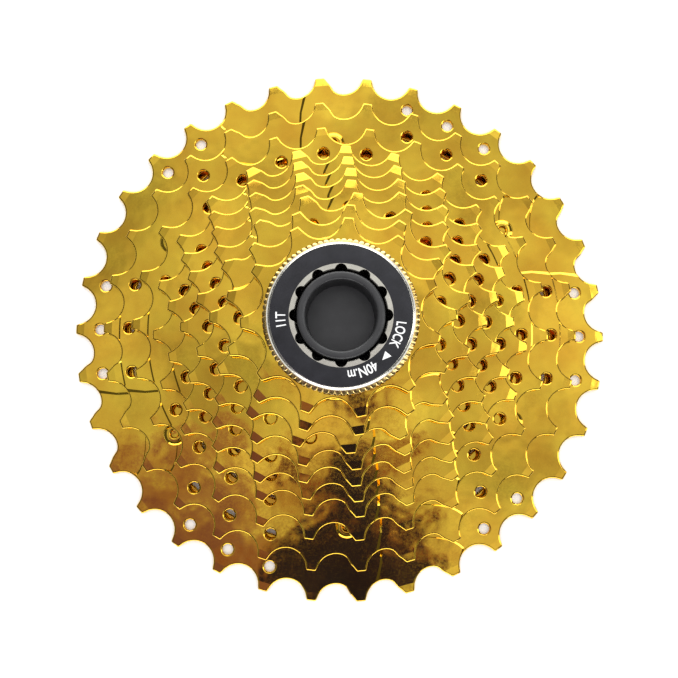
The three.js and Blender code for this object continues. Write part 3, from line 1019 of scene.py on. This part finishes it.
def make_core():
    low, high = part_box("packing_core")
    bottom, top = low.z / MM, high.z / MM
    outer = BORE_RADIUS - SPLINE_CLEARANCE
    floor_back, floor_front = CORE_FLOOR
    socket_inner, socket_outer = SOCKET_RADII
    profile = [(CORE_BACK_BORE_RADIUS, bottom), (outer, bottom), (outer, top), (CORE_FRONT_BORE_RADIUS, top),
               (CORE_FRONT_BORE_RADIUS, floor_front), (socket_outer, floor_front), (socket_outer, SOCKET_TOP),
               (socket_inner, SOCKET_TOP), (socket_inner, floor_back), (CORE_BACK_BORE_RADIUS, floor_back)]
    pitch = 360 / LUG_COUNT
    groove_depth = BORE_RADIUS - LUG_TIP_RADIUS
    middle_of_wall = (outer + CORE_FRONT_BORE_RADIUS) / 2

    def grooved(radius, bearing):
        off = abs((bearing + pitch / 2) % pitch - pitch / 2)
        in_groove = off < half_groove(round(bearing / pitch)) + GROOVE_SLANT / 2
        return radius - groove_depth if radius > middle_of_wall and in_groove else radius

    mesh = turned("core", smooth_profile(profile, CORE_ROUNDING), groove_bearings(), grooved)
    piece("moulded_core", mesh, [CORE_PLASTIC], "cluster", ["packing_core"])


def make_plug():
    low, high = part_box("packing_plug")
    bottom, top = low.z / MM, high.z / MM
    lip = high.x / MM
    stem_inner, stem_outer = PLUG_STEM_RADII
    recess_floor, recess_mouth = PLUG_RECESS_RADII
    wall = [(stem_inner, PLUG_INSIDE_FLOOR), (stem_inner, bottom), (stem_outer, bottom)]
    wall += [(stem_outer, PLUG_LIP_BOTTOM), (lip, PLUG_LIP_BOTTOM), (lip, top)]
    wall += [(recess_mouth, top), (recess_floor, PLUG_RECESS_FLOOR)]
    profile = [(0, PLUG_INSIDE_FLOOR)] + smooth_profile(wall, PLUG_ROUNDING, 5) + [(0, PLUG_RECESS_FLOOR)]
    piece("moulded_plug", turned("plug", profile), [CORE_PLASTIC], "plug", ["packing_plug"])


# ---- stage, light and camera ----

def stage_plane(name, corners, material):
    mesh = bpy.data.meshes.new(name)
    mesh.from_pydata([Vector(c) * MM for c in corners], [], [tuple(range(len(corners)))])
    mesh.materials.append(material)
    made = bpy.data.objects.new(name, mesh)
    bpy.context.scene.collection.objects.link(made)
    return made


def make_floor():
    material, tree, shader = new_material("pale_floor")
    shader.inputs["Roughness"].default_value = 0.9
    shader.inputs["Specular IOR Level"].default_value = 0.1
    grain = noise(tree, 3, 3)
    tree.links.new(ramp(tree, grain, (0.90, 0.90, 0.90), (0.93, 0.93, 0.93)), shader.inputs["Base Color"])
    half, level = FLOOR_HALF_WIDTH, FLOOR_LEVEL
    corners = [(-half, -half, level), (half, -half, level), (half, half, level), (-half, half, level)]
    stage_plane("floor", corners, material)


def facing(place, target):
    """The turn of a camera or light that looks from a place to a target, with +Y up in its view."""
    forward = (Vector(target) - Vector(place)).normalized()
    right = forward.cross(Vector((0, 1, 0))).normalized()
    up = right.cross(forward)
    return Matrix((right, up, -forward)).transposed().to_quaternion()


def make_ceiling():
    """A softly uneven white ceiling over the object, dimmer to the left, seen only in its reflections."""
    material, tree, shader = glowing_material("ceiling_light")
    place = tree.nodes.new("ShaderNodeTexCoord")
    axes = tree.nodes.new("ShaderNodeSeparateXYZ")
    tree.links.new(place.outputs["Object"], axes.inputs["Vector"])
    dimming = span(tree, axes.outputs["X"], 0.8, 1, -CEILING_DIM_REACH * MM, 0)
    clouds = span(tree, noise(tree, 110, 3), 0.42, 1.05)
    tree.links.new(combined(tree, "MULTIPLY", clouds, dimming), shader.inputs["Emission Strength"])
    shader.inputs["Emission Color"].default_value = (1, 1, 1, 1)
    left, right, front, back, level = -640, 800, -420, 1000, 900
    corners = [(left, front, level), (right, front, level), (right, back, level), (left, back, level)]
    reflected_only(stage_plane("ceiling", corners, material))


def oval_distance(tree, centre, reach):
    """How far out a place is in an oval, 0 in its middle and 1 at its rim."""
    place = tree.nodes.new("ShaderNodeTexCoord")
    mapping = tree.nodes.new("ShaderNodeMapping")
    mapping.inputs["Location"].default_value = (-centre[0] / reach[0], -centre[1] / reach[1], 0)
    mapping.inputs["Scale"].default_value = (1 / (reach[0] * MM), 1 / (reach[1] * MM), 0)
    distance = tree.nodes.new("ShaderNodeVectorMath")
    distance.operation = "LENGTH"
    tree.links.new(place.outputs["Object"], mapping.inputs["Vector"])
    tree.links.new(mapping.outputs["Vector"], distance.inputs[0])
    return distance.outputs["Value"]


def soft_card(name, centre, reach, height, colours):
    """An uneven oval card that fades out at its rim, seen only in reflections. Its colours run from its
    middle outwards."""
    material, tree, shader = glowing_material(name)
    ragged = span(tree, noise(tree, 38, 2), -0.36, 0.36)
    distance = combined(tree, "ADD", oval_distance(tree, centre, reach), ragged)
    tree.links.new(shades(tree, distance, colours), shader.inputs["Emission Color"])
    shader.inputs["Emission Strength"].default_value = 1
    tree.links.new(ramp(tree, distance, (1, 1, 1), (0, 0, 0), 0.85, 1.0), shader.inputs["Alpha"])
    corners = [(centre[0] + x * reach[0] * CARD_MARGIN, centre[1] + y * reach[1] * CARD_MARGIN, height)
               for x, y in ((-1, -1), (1, -1), (1, 1), (-1, 1))]
    reflected_only(stage_plane(name, corners, material))


def make_dark_figure():
    """A dark shape over the object, such as someone standing there, with a warm brown side."""
    dark = [(0.0, (0.02, 0.018, 0.12)), (0.72, (0.03, 0.023, 0.13)), (0.84, (0.30, 0.12, 0.16)),
            (1.0, (0.50, 0.30, 0.25))]
    soft_card("dark_figure", (6, -182), (94, 178), 600, dark)
    warm = [(0.0, (0.20, 0.10, 0.34)), (0.6, (0.27, 0.145, 0.36)), (1.0, (0.52, 0.36, 0.42))]
    soft_card("warm_figure", (-150, -184), (160, 160), 605, warm)


def reflected_only(card):
    """Hides a card from everything but mirror reflections."""
    card.visible_camera = False
    card.visible_diffuse = False
    card.visible_shadow = False


def area_light(name, place, target, size, brightness, in_mirrors=True, on_matt=True):
    """A soft box of that brightness, where a white surface in full light is about 1. It can be left out of
    mirror reflections, or off matt surfaces."""
    light = bpy.data.lights.new(name, "AREA")
    light.shape = "RECTANGLE"
    light.size, light.size_y = (s * MM for s in size)
    light.energy = brightness * math.pi * light.size * light.size_y
    made = bpy.data.objects.new(name, light)
    made.location = Vector(place) * MM
    made.rotation_mode = "QUATERNION"
    made.rotation_quaternion = facing(place, target)
    made.visible_camera = False
    made.visible_glossy = in_mirrors
    made.visible_diffuse = on_matt
    bpy.context.scene.collection.objects.link(made)
    return made


def make_world():
    """A pale surround, dimmer in mirror reflections."""
    world = bpy.data.worlds.new("studio")
    world.use_nodes = True
    tree = world.node_tree
    background = tree.nodes["Background"]
    background.inputs["Color"].default_value = (0.97, 0.98, 1, 1)
    rays = tree.nodes.new("ShaderNodeLightPath")
    in_full = combined(tree, "MAXIMUM", rays.outputs["Is Camera Ray"], rays.outputs["Is Diffuse Ray"])
    tree.links.new(span(tree, in_full, 0.1, 0.95), background.inputs["Strength"])
    bpy.context.scene.world = world


def make_lights():
    area_light("fill", (0, 0, 1500), (0, 0, 0), (1500, 1500), 1.6, in_mirrors=False)
    for name, place, size, brightness in PANELS:
        area_light(name, place, PANEL_TARGET, size, brightness, on_matt=False)


def make_camera():
    data = bpy.data.cameras.new("camera")
    data.lens = CAMERA_LENS
    data.sensor_width = 36
    data.clip_start = 0.01
    data.clip_end = 30
    camera = bpy.data.objects.new("camera", data)
    camera.location = Vector(CAMERA_PLACE) * MM
    camera.rotation_mode = "QUATERNION"
    camera.rotation_quaternion = facing(CAMERA_PLACE, CAMERA_TARGET)
    bpy.context.scene.collection.objects.link(camera)
    bpy.context.scene.camera = camera


make_camera()
for number in range(len(SPROCKETS)):
    make_sprocket(number)
make_spacers()
make_rivets()
make_washer()
make_lockring()
make_marks()
make_core()
make_plug()
make_floor()
make_world()
make_lights()
make_ceiling()
make_dark_figure()
bpy.context.scene.view_settings.view_transform = "Standard"
